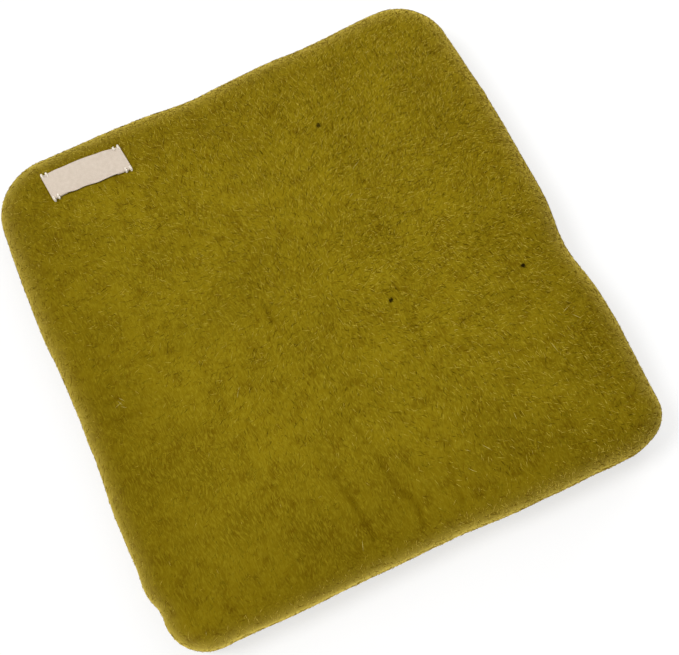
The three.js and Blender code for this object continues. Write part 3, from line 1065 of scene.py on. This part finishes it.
class LooseWool(Enum):
    """The felt's fibres: its blend of dyes, fluff at its edges, pale partly as painted sheen, dark strands
    there, some hairs and specks.
    """

    OLIVE = FibreLayer(WoolFibre("olive", "#806f0b"), worn=0.5)
    MOSS = FibreLayer(WoolFibre("moss", "#4c3b02"), crease_thinning=0.0, worn=1.2)
    BRONZE = FibreLayer(WoolFibre("bronze", "#765c04"), crease_thinning=0.0, worn=0.7)
    OCHRE = FibreLayer(WoolFibre("ochre", "#a38e1c"), thickness=0.17 * MM, margin_thinning=0.15)
    STRAW = FibreLayer(WoolFibre("straw", "#c2ae45"), thickness=0.16 * MM, worn=1.2)
    LEAF = FibreLayer(WoolFibre("leaf", "#7d6e0b"), worn=0.5)
    # Pale fluff and down on the steep sides: real fuzz, whose pale colour also stands in for the light
    # caught along the sides, a painted sheen.
    FLUFF = FibreLayer(
        WoolFibre("fluff", "#c9b14c"),
        length=2.2 * MM,
        thickness=0.15 * MM,
        rise=0.6 * MM,
        place=FibrePlace.EDGES,
        astray=0.003,
        worn=0.6,
    )
    DOWN = FibreLayer(
        WoolFibre("down", "#af9831"),
        length=1.8 * MM,
        thickness=0.19 * MM,
        rise=0.4 * MM,
        place=FibrePlace.EDGES,
        astray=0.003,
        worn=0.6,
    )
    UMBER = FibreLayer(
        WoolFibre("umber", "#694f04"),
        fibres=11000,
        length=3.0 * MM,
        rise=0.3 * MM,
        place=FibrePlace.EDGES,
        edge_growth=0.8,
        turn=math.radians(70),
    )
    KEMP = FibreLayer(
        WoolFibre("kemp", "#c8b766"),
        fibres=28,
        length=3.6 * MM,
        thickness=0.18 * MM,
        rise=0.7 * MM,
        sink=-0.1 * MM,
        place=FibrePlace.SPOTS,
        spots=in_mm((84.4, -49.0), (46.4, -75.0), (-56.3, 74.0), (-84.7, -10.3), (-44.3, -25.4)),
        spot_reach=1.6 * MM,
        astray=0.001,
    )
    SPECK = FibreLayer(
        WoolFibre("speck", "#2a2008"),
        fibres=90,
        length=1.3 * MM,
        thickness=0.5 * MM,
        rise=0.1 * MM,
        sink=-0.3 * MM,
        place=FibrePlace.SPOTS,
        gather=0.5,
        spots=in_mm((24.4, -15.6), (30.5, 63.1), (76.4, -24.3)),
    )


@dataclass
class WoolNap:
    """The loose fibres on the cover: they lie on its skin in swirls, each end sunk into the felt."""

    cover: FeltCover
    down: float = 100 * MM
    swing: float = math.radians(150)
    stray: float = 0.9
    swirl: float = 22 * MM
    stretch: Plan = (0.45, 1.3)
    stretch_seed: int = 5
    chance_seed: int = 9
    kink: float = 0.25 * MM
    kink_pitch: float = 2.5 * MM
    kink_variety: float = 40.0
    rise_growth: float = 2.0
    end_thinning: float = 0.42
    end_growth: float = 4.0
    steps: int = 3
    sides: int = 3
    edge_most: float = 0.3
    edge_thinning: float = 0.35
    edge_tilt: float = 0.5
    worn_run: float = 200 * MM
    worn_middle: float = 0.5
    share_name: str = "nap_share"
    margin: np.ndarray = field(init=False)
    creased: np.ndarray = field(init=False)

    def tree(self) -> Tree:
        """Builds the tree that lays fibres on a skin.

        Returns:
            The tree, with its sizes, seed and material as inputs.
        """
        numbers = ("Fibres per area", "Length", "Thickness", "Rise", "Sink", "Turn")
        numbers += ("Swirl", "Kink", "Kink pitch")
        inputs = {"Skin": "Geometry", **dict.fromkeys(numbers, "Float"), "Seed": "Int", "Wool": "Material"}
        tree, node = new_tree("wool_nap", inputs, "Nap")
        given = node("NodeGroupInput").node.outputs
        skin, seed = given["Skin"], given["Seed"]
        place = node("GeometryNodeInputPosition")

        share = node("GeometryNodeInputNamedAttribute", {"Name": self.share_name}, data_type="FLOAT")
        density = node("ShaderNodeMath", {0: given["Fibres per area"], 1: share}, operation="MULTIPLY")
        scatter = {"Mesh": skin, "Density": density, "Seed": seed}
        roots = node("GeometryNodeDistributePointsOnFaces", scatter, "Points")
        # Fibres lie outwards from the middle, and near ones much the same way, as the hand has rubbed them.
        away = {0: place, 1: (1, 1, 0), 2: (0, 0, -self.down)}
        outward = node("ShaderNodeVectorMath", away, operation="MULTIPLY_ADD")
        facing = {"Rotation": roots.node.outputs["Rotation"], "Vector": outward}
        aligned = node("FunctionNodeAlignRotationToVector", facing, axis="X", pivot_axis="Z")
        fineness = node("ShaderNodeMath", {0: 1.0, 1: given["Swirl"]}, operation="DIVIDE")
        swirl = node("ShaderNodeTexNoise", {"Vector": place, "Scale": fineness, "Detail": 1.0}, "Fac")
        sweep = {0: swirl, 1: self.swing, 2: given["Turn"]}
        bearing = node("ShaderNodeMath", sweep, operation="MULTIPLY_ADD")
        either_way = {2: -self.stray, 3: self.stray, "Seed": seed}
        stray = node("FunctionNodeRandomValue", either_way, 1, data_type="FLOAT")
        turned = node("ShaderNodeMath", {0: bearing, 1: stray}, operation="ADD")
        turn = node("FunctionNodeAxisAngleToRotation", {"Axis": (0, 0, 1), "Angle": turned})
        rotations = {"Rotation": aligned, "Rotate By": turn}
        lain = node("FunctionNodeRotateRotation", rotations, rotation_space="LOCAL")
        stretches = {2: self.stretch[0], 3: self.stretch[1], "Seed": self.stretch_seed}
        stretch = node("FunctionNodeRandomValue", stretches, 1, data_type="FLOAT")
        length = node("ShaderNodeMath", {0: given["Length"], 1: stretch}, operation="MULTIPLY")
        size = node("ShaderNodeCombineXYZ", {"X": length, "Y": 1.0, "Z": 1.0})
        line = node("GeometryNodeCurvePrimitiveLine", {"Start": (-0.5, 0, 0), "End": (0.5, 0, 0)})
        strand = node("GeometryNodeResampleCurve", {"Curve": line, "Count": self.steps})
        copies = {"Points": roots, "Instance": strand, "Rotation": lain, "Scale": size}
        laid = node("GeometryNodeInstanceOnPoints", copies)
        chances = {2: 0.0, 3: 1.0, "Seed": self.chance_seed}
        chance = node("FunctionNodeRandomValue", chances, 1, data_type="FLOAT")
        marks = {"Geometry": laid, "Name": "chance", "Value": chance}
        marked = node("GeometryNodeStoreNamedAttribute", marks, data_type="FLOAT", domain="INSTANCE")
        strands = node("GeometryNodeRealizeInstances", {"Geometry": marked})

        # Each fibre wavers, then follows the skin, sunk at one end and rising towards the other.
        own = node("GeometryNodeInputNamedAttribute", {"Name": "chance"}, data_type="FLOAT")
        other = node("ShaderNodeMath", {0: own, 1: self.kink_variety}, operation="MULTIPLY")
        fineness = node("ShaderNodeMath", {0: 1.0, 1: given["Kink pitch"]}, operation="DIVIDE")
        kinks = {"Vector": place, "W": other, "Scale": fineness, "Detail": 0.0}
        waver = node("ShaderNodeTexNoise", kinks, "Color", noise_dimensions="4D")
        centred = node("ShaderNodeVectorMath", {0: waver, 1: (0.5, 0.5, 0.5)}, operation="SUBTRACT")
        drift = node("ShaderNodeVectorMath", {0: centred, "Scale": given["Kink"]}, operation="SCALE")
        wavy = node("GeometryNodeSetPosition", {"Geometry": strands, "Offset": drift})
        near = node("GeometryNodeProximity", {0: skin}, "Position", target_element="FACES")
        sample = {"Mesh": skin, "Value": node("GeometryNodeInputNormal")}
        normal = node("GeometryNodeSampleNearestSurface", sample, data_type="FLOAT_VECTOR")
        step = node("GeometryNodeSplineParameter", out="Factor")
        lifted = node("ShaderNodeMath", {0: own, 1: self.rise_growth}, operation="POWER")
        loose = node("ShaderNodeMath", {0: lifted, 1: step}, operation="MULTIPLY")
        rise = node("ShaderNodeMath", {0: loose, 1: given["Rise"]}, operation="MULTIPLY")
        lift = node("ShaderNodeMath", {0: rise, 1: given["Sink"]}, operation="SUBTRACT")
        up = node("ShaderNodeVectorMath", {0: normal, "Scale": lift}, operation="SCALE")
        seat = node("ShaderNodeVectorMath", {0: near, 1: up}, operation="ADD")
        path = node("GeometryNodeSetPosition", {"Geometry": wavy, "Position": seat})

        # A fibre is thickest at its middle and fine at its ends.
        from_middle = node("ShaderNodeMath", {0: step, 1: 2.0, 2: -1.0}, operation="MULTIPLY_ADD")
        end = node("ShaderNodeMath", {0: from_middle, 1: self.end_growth}, operation="POWER")
        body = node("ShaderNodeMath", {0: end, 1: -self.end_thinning, 2: 0.5}, operation="MULTIPLY_ADD")
        radius = node("ShaderNodeMath", {0: body, 1: given["Thickness"]}, operation="MULTIPLY")
        section = node("GeometryNodeCurvePrimitiveCircle", {"Resolution": self.sides, "Radius": 1.0})
        sweep = {"Curve": path, "Profile Curve": section, "Scale": radius, "Fill Caps": True}
        soft = node("GeometryNodeSetShadeSmooth", {"Geometry": node("GeometryNodeCurveToMesh", sweep)})
        real = node("GeometryNodeRealizeInstances", {"Geometry": soft})
        dyed = node("GeometryNodeSetMaterial", {"Geometry": real, "Material": given["Wool"]})
        node("NodeGroupOutput", {0: dyed})
        return tree

    def share(self, layer: FibreLayer) -> np.ndarray:
        """Says how thickly the fibres of a layer lie at each point of the cover.

        Args:
            layer: Kind of fibre.

        Returns:
            From 0, none, to 1.
        """
        share = self.cover.nap_share()
        skin = self.cover.piece.data
        if layer.place is FibrePlace.SPOTS:
            points = rows_of(skin)
            off = np.min([np.linalg.norm(points[:, :2] - spot, axis=1) for spot in layer.spots], axis=0)
            near = bell(off, layer.spot_reach) * (points[:, 2] > self.cover.height / 2)
            return share * np.maximum(near, layer.astray)
        tilt = 1 - np.clip(rows_of(skin, "normal")[:, 2], 0, 1)
        if layer.place is FibrePlace.EDGES:
            share = share * np.clip(tilt**layer.edge_growth, layer.astray, self.edge_most)
        else:
            # The dyed fibres thin out on the steep sides, so that the pale fluff there shows as part of the
            # painted sheen.
            share = share * (1 - self.edge_thinning * np.clip(tilt / self.edge_tilt, 0, 1))
            # Fibres thin out in the creases, so that the felt shows darker there as painted shade; some
            # pale ones also thin out near the rim.
            thinned = np.maximum(layer.margin_thinning * self.margin, layer.crease_thinning * self.creased)
            share = share * (1 - thinned)
        return share * np.maximum(0, 1 - layer.worn * self.wear())

    def wear(self) -> np.ndarray:
        """Says how far each point is rubbed smooth: from 0 at the right back to 1 at the left front."""
        points = rows_of(self.cover.piece.data)
        run = (points[:, 0] + points[:, 1]) / math.sqrt(2)
        return np.clip(self.worn_middle - run / self.worn_run, 0, 1)

    def build(self) -> list[Piece]:
        """Lays each kind of fibre on the cover.

        Returns:
            One piece for each kind.
        """
        skin = self.cover.piece.data
        self.margin = self.cover.margin(rows_of(skin))
        self.creased = self.cover.creased(rows_of(skin))
        corners = np.array([p.vertices for p in skin.polygons])
        areas = np.array([p.area for p in skin.polygons])
        tree = self.tree()
        pieces = []
        for seed, layer in enumerate(kind.value for kind in LooseWool):
            share = self.share(layer)
            mesh = skin.copy()
            mark_points(mesh, self.share_name, share)
            piece = linked(f"felt_nap_{layer.wool.name}", mesh)
            values = {
                "Fibres per area": layer.fibres / (areas * share[corners].mean(axis=1)).sum(),
                "Length": layer.length,
                "Thickness": layer.thickness,
                "Rise": layer.rise,
                "Sink": layer.sink,
                "Turn": layer.turn - self.swing / 2,
                "Swirl": self.swirl,
                "Kink": self.kink,
                "Kink pitch": self.kink_pitch,
                "Seed": seed,
                "Wool": layer.wool.material(),
            }
            grow(piece, tree, values)
            settle(piece)
            self.press(piece, layer)
            pieces.append(piece)
        return pieces

    def press(self, piece: Piece, layer: FibreLayer) -> None:
        """Presses fibres flat under the mat, and draws those of a tangle in towards their spots.

        Args:
            piece: The fibres of one kind.
            layer: Their kind, with its spots.
        """
        points = rows_of(piece.data)
        points[:, 2] = np.maximum(points[:, 2], 0)
        if layer.gather < 1:
            spots = np.array(layer.spots)
            gaps = np.linalg.norm(points[:, None, :2] - spots, axis=2)
            nearest = spots[gaps.argmin(axis=1)]
            points[:, :2] = nearest + (points[:, :2] - nearest) * layer.gather
        move_points(piece.data, points)

    def dress(self, pieces: Iterable[Piece]) -> None:
        """Ties the fibres of each kind to the frame."""
        for piece in pieces:
            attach(piece, BODY)


@dataclass
class WoolCore:
    """The core: carded batts stacked in the hollow of the cover."""

    outline: MatOutline
    finish: CardedWool = CardedWool()
    count: int = 4
    edge_round: float = 0.9 * MM
    edge_steps: int = 4
    voxel: float = 3 * MM
    uneven: float = 0.25 * MM
    uneven_size: float = 7 * MM
    uneven_shift: float = 11.0

    def build(self) -> list[Piece]:
        """Makes each batt where its solid lies, a little uneven within it.

        Returns:
            The batts from the lowest up.
        """
        cover_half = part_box("cover_top")[1].x
        turns = quarter(self.edge_steps)
        pieces = []
        for place in range(1, self.count + 1):
            name = f"wool_batt_{place}"
            low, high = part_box(f"core_batt_{place}")
            inset = cover_half - high.x
            section = [(1 - sine, high.z - self.edge_round * (1 - cosine)) for sine, cosine in turns]
            section += [(1 - cosine, low.z + self.edge_round * (1 - sine)) for sine, cosine in turns]
            rings = [(self.outline.ring(inset + self.edge_round * soft), z) for soft, z in section]
            piece = linked(name, new_mesh(name, *loft(rings)))
            reshaped(piece, "REMESH", mode="VOXEL", voxel_size=self.voxel)
            points = rows_of(piece.data)
            sunk = self.uneven * (1 + hills(points, self.uneven_size, self.uneven_shift + place)) / 2
            points -= rows_of(piece.data, "normal") * sunk[:, None]
            move_points(piece.data, np.clip(points, low, high))
            smooth_shading(piece)
            pieces.append(piece)
        return pieces

    def dress(self, pieces: Iterable[Piece]) -> None:
        """Gives the batts their wool and ties them to the frame.

        Args:
            pieces: The batts from the lowest up.
        """
        material = self.finish.material()
        for place, piece in enumerate(pieces, start=1):
            piece.data.materials.append(material)
            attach(piece, BODY)
            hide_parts(f"core_batt_{place}")


@dataclass
class CottonLabel:
    """The label: a cotton tape with its ends folded under, lying on the felt and puckered by its tacks."""

    cover: FeltCover
    place: LabelPlace
    finish: WovenTape = WovenTape()
    fold: float = 6 * MM
    cloth: float = 0.35 * MM
    under: float = 0.18 * MM
    fold_space: float = 0.12 * MM
    roll: float = 0.4 * MM
    roll_run: float = 1.4 * MM
    sag_run: float = 4 * MM
    curl: float = 0.5 * MM
    curl_run: float = 1.6 * MM
    tacked: float = 3 * MM
    along_steps: int = 132
    across_steps: int = 40
    flap_steps: int = 20
    bend_steps: int = 9

    def lift(self, along: float) -> float:
        """Gives the height of the tape's upper layer: over the folded ends, sagging between them.

        Args:
            along: Distance along the label from its middle.

        Returns:
            The height of the layer's middle above the felt.
        """
        low = self.under + self.cloth / 2
        high = low + self.cloth + self.fold_space
        run = (self.place.length / 2 - self.fold - abs(along)) / self.sag_run
        share = min(max(run, 0.0), 1.0)
        rolled = self.roll * bell(self.place.length / 2 - abs(along), self.roll_run)
        return high + rolled + (low - high) * share * share * (3 - 2 * share)

    def curled(self, along: float, inside: float) -> float:
        """Gives how far the front edge curls up between its tacks, at a distance inside that edge."""
        free = (self.place.length / 2 - self.tacked - abs(along)) / self.sag_run
        return self.curl * min(max(free, 0.0), 1.0) * max(0.0, 1 - inside / self.curl_run) ** 2

    def line(self) -> list[Point]:
        """Draws the tape seen from its long edge: flap, fold, top run, fold, flap.

        Returns:
            For each step the place along the label, the height above the felt and the run of tape so far.
        """
        low = self.under + self.cloth / 2
        bend = (self.lift(self.place.length / 2) - low) / 2
        bend_at = self.place.length / 2 - self.cloth / 2 - bend
        flap_from = bend_at + bend - self.fold
        right = [(x, low) for x in np.linspace(flap_from, bend_at, self.flap_steps, endpoint=False)]
        for angle in np.linspace(-math.pi / 2, math.pi / 2, self.bend_steps):
            right.append((bend_at + bend * math.cos(angle), low + bend + bend * math.sin(angle)))
        top = [(x, self.lift(x)) for x in np.linspace(bend_at, -bend_at, self.along_steps)][1:-1]
        left = [(-x, z) for x, z in reversed(right)]
        whole = right + top + left
        run, steps = 0.0, []
        for (x, z), (last_x, last_z) in zip(whole, whole[:1] + whole):
            run += math.hypot(x - last_x, z - last_z)
            steps.append((x, z, run))
        return steps

    def build(self) -> Piece:
        """Makes the tape as one sheet and gives it its thickness.

        Returns:
            The label as a plain mesh with its weave's map.
        """
        steps = self.line()
        shares = np.linspace(-1, 1, self.across_steps + 1)
        points, places = [], []
        for along, lift, run in steps:
            for share in shares:
                half = self.place.half_width(along, share)
                x, y = self.place.on_plan(along, share * half)
                curl = self.curled(along, (1 + share) * half)
                points.append((x, y, self.cover.height_at(x, y) + lift + curl))
                places.append((run, share * self.place.width / 2))
        row = len(shares)
        faces = [
            (a, a + row, a + row + 1, a + 1)
            for step in range(len(steps) - 1)
            for a in range(step * row, step * row + row - 1)
        ]
        piece = linked("cotton_label", new_mesh("cotton_label", points, faces))
        weave = piece.data.uv_layers.new(name=self.finish.uv_name)
        for loop in piece.data.loops:
            weave.data[loop.index].uv = places[loop.vertex_index]
        reshaped(piece, "SOLIDIFY", thickness=self.cloth, offset=0)
        smooth_shading(piece)
        return piece

    def dress(self, piece: Piece) -> None:
        """Gives the label its weave and ties it to the frame.

        Args:
            piece: The label.
        """
        piece.data.materials.append(self.finish.material())
        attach(piece, BODY)
        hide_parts("label_tape")


class TackCorner(Enum):
    """The label corners that are tacked: the end and the long edge that each lies at."""

    BACK_LEFT = (-1, 1)
    BACK_RIGHT = (1, 1)
    FRONT_LEFT = (-1, -1)
    FRONT_RIGHT = (1, -1)


@dataclass
class LabelTacks:
    """The tacks: at each label corner a plied thread takes two stitches over the long edge of the tape."""

    label: CottonLabel
    finish: SewingThread = SewingThread()
    diameter: float = 0.95 * MM
    stitches: int = 2
    from_end: float = 0.6 * MM
    pitch: float = 1.9 * MM
    bite: float = 1.3 * MM
    reach: float = 0.2 * MM
    depth: float = 2 * MM
    twist: float = 1.6 * MM
    step: float = 0.12 * MM
    ply_radius: float = 0.27
    ply_shift: float = 0.23
    ply_sides: int = 8

    def tree(self) -> Tree:
        """Builds the tree that lays two twisted plies along a path.

        Returns:
            The tree, with its sizes and material as inputs.
        """
        sizes = dict.fromkeys(("Diameter", "Twist", "Step"), "Float")
        tree, node = new_tree("plied_thread", {"Path": "Geometry", **sizes, "Thread": "Material"}, "Plies")
        given = node("NodeGroupInput").node.outputs
        steps = {"Curve": given["Path"], "Length": given["Step"]}
        even = node("GeometryNodeResampleCurve", steps, mode="LENGTH")
        run = node("GeometryNodeSplineParameter", out="Length")
        turns = node("ShaderNodeMath", {0: run, 1: given["Twist"]}, operation="DIVIDE")
        angle = node("ShaderNodeMath", {0: turns, 1: 2 * math.pi}, operation="MULTIPLY")
        twisted = node("GeometryNodeSetCurveTilt", {"Curve": even, "Tilt": angle})
        radius = node("ShaderNodeMath", {0: given["Diameter"], 1: self.ply_radius}, operation="MULTIPLY")
        ply = node("GeometryNodeCurvePrimitiveCircle", {"Resolution": self.ply_sides, "Radius": radius})
        section = node("GeometryNodeJoinGeometry")
        for side in (-self.ply_shift, self.ply_shift):
            out = node("ShaderNodeMath", {0: given["Diameter"], 1: side}, operation="MULTIPLY")
            shift = node("ShaderNodeCombineXYZ", {"X": out})
            moved = node("GeometryNodeTransform", {"Geometry": ply, "Translation": shift})
            tree.links.new(moved, section.node.inputs[0])
        sweep = {"Curve": twisted, "Profile Curve": section, "Fill Caps": True}
        soft = node("GeometryNodeSetShadeSmooth", {"Geometry": node("GeometryNodeCurveToMesh", sweep)})
        real = node("GeometryNodeRealizeInstances", {"Geometry": soft})
        spun = node("GeometryNodeSetMaterial", {"Geometry": real, "Material": given["Thread"]})
        node("NodeGroupOutput", {0: spun})
        return tree

    def path(self, corner: TackCorner) -> list[Point]:
        """Draws one tack's thread: up beside the tape, over its edge and down through it, twice.

        Args:
            corner: The label corner.

        Returns:
            Points along the thread.
        """
        end, edge = corner.value
        place, cover = self.label.place, self.label.cover
        points = []
        for stitch in range(self.stitches):
            along = end * (place.length / 2 - self.from_end - stitch * self.pitch)
            half = place.half_width(along, edge)
            top = self.label.lift(along) + self.label.cloth / 2
            over = top + self.diameter / 2
            route = [
                (half + self.reach, -self.depth),
                (half + self.reach, self.diameter / 2),
                (half + self.reach + self.diameter / 4, over - self.diameter / 4),
                (half - self.diameter / 2, over),
                (half - self.bite + self.diameter / 2, over - self.diameter / 4),
                (half - self.bite, top - self.diameter),
                (half - self.bite, -self.depth),
            ]
            for across, lift in route:
                x, y = place.on_plan(along, edge * across)
                points.append((x, y, cover.height_at(x, y) + lift))
        return points

    def build(self) -> list[Piece]:
        """Makes the four tacks.

        Returns:
            One piece for each corner, in the order of TackCorner.
        """
        tree = self.tree()
        values = {"Diameter": self.diameter, "Twist": self.twist, "Step": self.step}
        values["Thread"] = self.finish.material()
        pieces = []
        for corner in TackCorner:
            line = bpy.data.curves.new("tack_path", "CURVE")
            line.dimensions = "3D"
            spline = line.splines.new("NURBS")
            points = self.path(corner)
            spline.points.add(len(points) - 1)
            for point, place in zip(spline.points, points):
                point.co = (*place, 1)
            spline.order_u = 3
            spline.use_endpoint_u = True
            path = linked("tack_path", line)
            grow(path, tree, values)
            pieces.append(linked(f"tack_thread_{corner.name.lower()}", modified_mesh(path)))
            bpy.data.objects.remove(path)
            bpy.data.curves.remove(line)
        return pieces

    def dress(self, pieces: Iterable[Piece]) -> None:
        """Ties the tacks to the frame.

        Args:
            pieces: The tacks in the order of TackCorner.
        """
        for corner, piece in zip(TackCorner, pieces):
            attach(piece, BODY)
            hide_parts(f"label_tack_{corner.name.lower()}")


@dataclass(frozen=True)
class Stand:
    """Where a lamp or the camera stands: its bearing and height in degrees, and its distance."""

    bearing: float
    height: float
    distance: float
    target: Point = (0.0, 0.0, 0.0)

    def hold(self, name: str, data: bpy.types.ID) -> Piece:
        """Puts a lamp or camera on the stand.

        Args:
            name: Name of the object.
            data: The light or camera.

        Returns:
            The object, turned to the target.
        """
        bearing, height = math.radians(self.bearing), math.radians(self.height)
        level = math.cos(height)
        back = Vector((math.cos(bearing) * level, math.sin(bearing) * level, math.sin(height)))
        held = linked(name, data)
        held.location = Vector(self.target) + back * self.distance
        held.rotation_euler = back.to_track_quat("Z", "Y").to_euler()
        return held


@dataclass(frozen=True)
class Lamp:
    """A round soft lamp that points at the mat."""

    name: str
    stand: Stand
    size: float
    power: float

    def build(self) -> None:
        """Hangs the lamp in the studio."""
        light = bpy.data.lights.new(self.name, "AREA")
        light.shape = "DISK"
        light.size = self.size
        light.energy = self.power
        self.stand.hold(self.name, light)


@dataclass
class Studio:
    """White paper, a soft key light from the upper left, even fill, and the camera above the front."""

    paper: PaperSweep = PaperSweep()
    paper_size: float = 4.0
    tripod: Stand = Stand(-115.016, 72.428, 425.211 * MM, (4.06 * MM, -13.33 * MM, 12.56 * MM))
    lens: float = 58.02
    sensor: float = 36.0
    lamps: tuple[Lamp, ...] = (
        Lamp("key", Stand(160.0, 56.0, 1.8), size=0.65, power=16.5),
        Lamp("sky", Stand(60.0, 72.0, 0.4), size=0.35, power=0.48),
        Lamp("front", Stand(-110.0, 14.0, 1.0), size=0.8, power=5.0),
        Lamp("rim", Stand(35.0, 12.0, 1.0), size=0.6, power=5.6),
    )
    white: str = "#ffffff"
    fill: float = 0.3

    def build(self) -> None:
        """Makes the floor, the light and the camera."""
        scene = bpy.context.scene
        scene.view_settings.view_transform = "Standard"
        half = self.paper_size / 2
        corners = [(-half, -half, 0), (half, -half, 0), (half, half, 0), (-half, half, 0)]
        floor = linked("paper_sweep", new_mesh("paper_sweep", corners, [(0, 1, 2, 3)]))
        floor.data.materials.append(self.paper.material())

        scene.world = bpy.data.worlds.new("soft_fill")
        node = empty_tree(scene.world)
        light, shown = [
            node("ShaderNodeBackground", {"Color": linear(self.white), "Strength": strength})
            for strength in (self.fill, 1.0)
        ]
        mix = node("ShaderNodeMixShader", {"Fac": seen_directly(node), 1: light, 2: shown})
        node("ShaderNodeOutputWorld", {"Surface": mix})
        for lamp in self.lamps:
            lamp.build()

        view = bpy.data.cameras.new("camera")
        view.lens = self.lens
        view.sensor_width = self.sensor
        view.clip_start = 10 * MM
        scene.camera = self.tripod.hold("camera", view)


def report(pieces: Iterable[Piece]) -> None:
    """Logs each finished piece and its faces."""
    for piece in pieces:
        piece.data.calc_loop_triangles()
        log.info("%s: %d triangles", piece.name, len(piece.data.loop_triangles))


def main() -> None:
    """Builds and dresses the mat, logs each piece's triangles, then builds its studio."""
    logging.basicConfig(level=logging.INFO, format="%(name)s: %(message)s")
    outline = MatOutline()
    place = LabelPlace(outline)

    cover = FeltCover(outline, place)
    cover.build()
    nap = WoolNap(cover)
    fibres = nap.build()
    nap.dress(fibres)
    label = CottonLabel(cover, place)
    tape = label.build()
    label.dress(tape)
    tacks = LabelTacks(label)
    threads = tacks.build()
    tacks.dress(threads)
    core = WoolCore(outline)
    batts = core.build()
    core.dress(batts)
    cover.dress()
    report([cover.piece, *fibres, tape, *threads, *batts])
    Studio().build()


if __name__ == "__main__":
    main()
